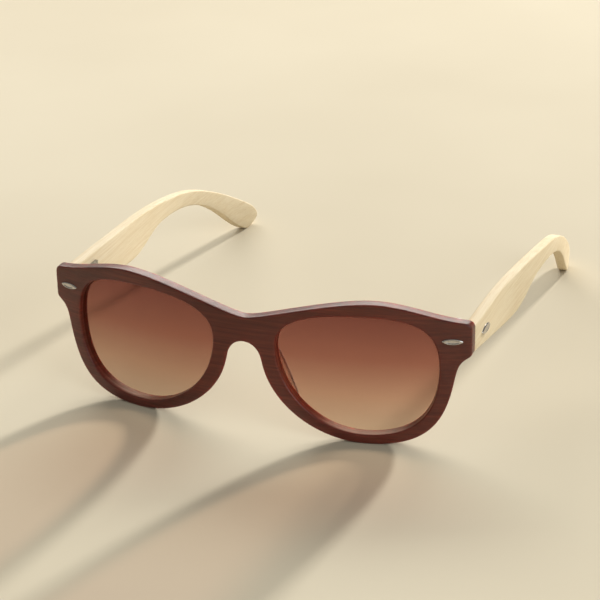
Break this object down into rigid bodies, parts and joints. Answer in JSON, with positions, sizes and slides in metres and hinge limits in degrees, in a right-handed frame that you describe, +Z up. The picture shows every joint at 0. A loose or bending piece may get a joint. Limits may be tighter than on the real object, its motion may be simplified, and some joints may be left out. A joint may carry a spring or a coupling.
{
  "type": "sunglasses",
  "caption": "Sunglasses with a curved wood-look brown front, gradient rose-brown lenses and flat bamboo temples that fold on barrel hinges.",
  "frame": {"origin": "on the table, midway between the two sides and midway between the front face and the temple tips", "axes": "+X across the front to the picture's right, the front faces -Y and the temples run to +Y, +Z up"},
  "size_m": [0.1462, 0.166, 0.0488],
  "materials": {
    "front_plastic": "translucent reddish brown with fine lengthwise wood streaks, semi-gloss",
    "lens_tint": "clear gloss, tint fading from rose-brown at the top to pale at the bottom",
    "bamboo": "natural bamboo, fine straight grain, sanded with a thin matt varnish",
    "rivet_metal": "polished silver",
    "hinge_metal": "satin nickel"
  },
  "bodies": {
    "front": {"front_frame": "front_plastic", "lens_left": "lens_tint", "lens_right": "lens_tint", "front_rivet_left": "rivet_metal", "front_rivet_right": "rivet_metal", "front_hinge_leaf_left": "hinge_metal", "front_hinge_leaf_right": "hinge_metal", "hinge_screw_left": "hinge_metal", "hinge_screw_right": "hinge_metal"},
    "left_temple": {"temple_left": "bamboo", "temple_hinge_leaf_left": "hinge_metal", "temple_rivet_left": "rivet_metal"},
    "right_temple": {"temple_right": "bamboo", "temple_hinge_leaf_right": "hinge_metal", "temple_rivet_right": "rivet_metal"}
  },
  "joints": [
    {"name": "left_temple_fold", "type": "hinge", "parent": "front", "child": "left_temple", "pos_m": [-0.0657, -0.06568, 0.03724], "axis": [0, 0, -1], "range_deg": [0, 91]},
    {"name": "right_temple_fold", "type": "hinge", "parent": "front", "child": "right_temple", "pos_m": [0.0657, -0.06568, 0.03724], "axis": [0, 0, 1], "range_deg": [0, 82]}
  ]
}
